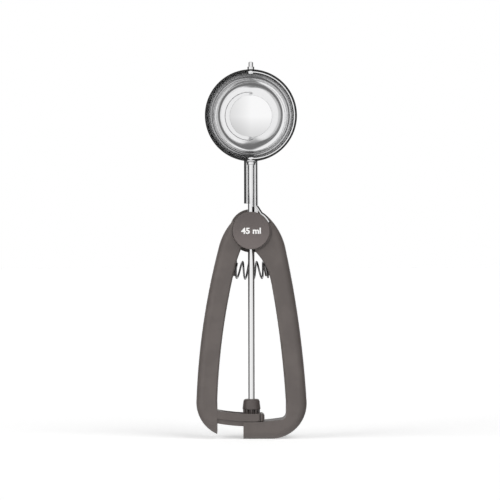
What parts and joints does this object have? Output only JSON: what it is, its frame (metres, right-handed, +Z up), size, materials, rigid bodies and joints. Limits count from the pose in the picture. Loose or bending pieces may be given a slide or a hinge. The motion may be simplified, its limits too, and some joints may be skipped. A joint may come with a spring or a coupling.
{
  "type": "lever ice cream scoop",
  "caption": "Lever ice cream scoop: a polished half-round bowl with a scraper blade that sweeps it when the two sprung plastic handles are squeezed.",
  "frame": {"origin": "on the sole of the fixed handle's foot, straight below the drive rod", "axes": "+Z up along the drive rod to the bowl, +X to the fixed handle, +Y away from the bowl's mouth, to the back"},
  "size_m": [0.0661, 0.0378, 0.2259],
  "materials": {
    "handle_plastic": "matte, fine grain",
    "cap_plastic": "satin",
    "gear_plastic": "satin",
    "polished_steel": "polished",
    "bright_steel": "satin",
    "spring_steel": "bright drawn"
  },
  "bodies": {
    "frame": {"fixed_handle": "handle_plastic", "fixed_handle_cover": "handle_plastic", "capacity_cap": "cap_plastic", "stem_bracket": "bright_steel", "bowl": "polished_steel", "tip_pin": "bright_steel", "tip_collar": "bright_steel", "pivot_rivet": "bright_steel", "rivet_washer": "bright_steel", "return_spring": "spring_steel"},
    "lever": {"lever_handle": "handle_plastic", "lever_handle_cover": "handle_plastic"},
    "sweeper": {"drive_rod": "polished_steel", "pinion_collar": "gear_plastic", "scraper_blade": "polished_steel"}
  },
  "joints": [
    {"name": "lever_squeeze", "type": "hinge", "parent": "frame", "child": "lever", "pos_m": [0, 0, 0.1246], "axis": [0, -1, 0], "range_deg": [0, 6.3], "stiffness_Nm_per_rad": 2.7, "springref_deg": -5.73, "deforming": ["return_spring"]},
    {"name": "sweeper_turn", "type": "hinge", "parent": "frame", "child": "sweeper", "pos_m": [0, 0, 0.1], "axis": [0, 0, 1], "range_deg": [0, 156]}
  ],
  "couplings": [
    {"joint": "sweeper_turn", "follows": "lever_squeeze", "ratio": 24.756}
  ]
}
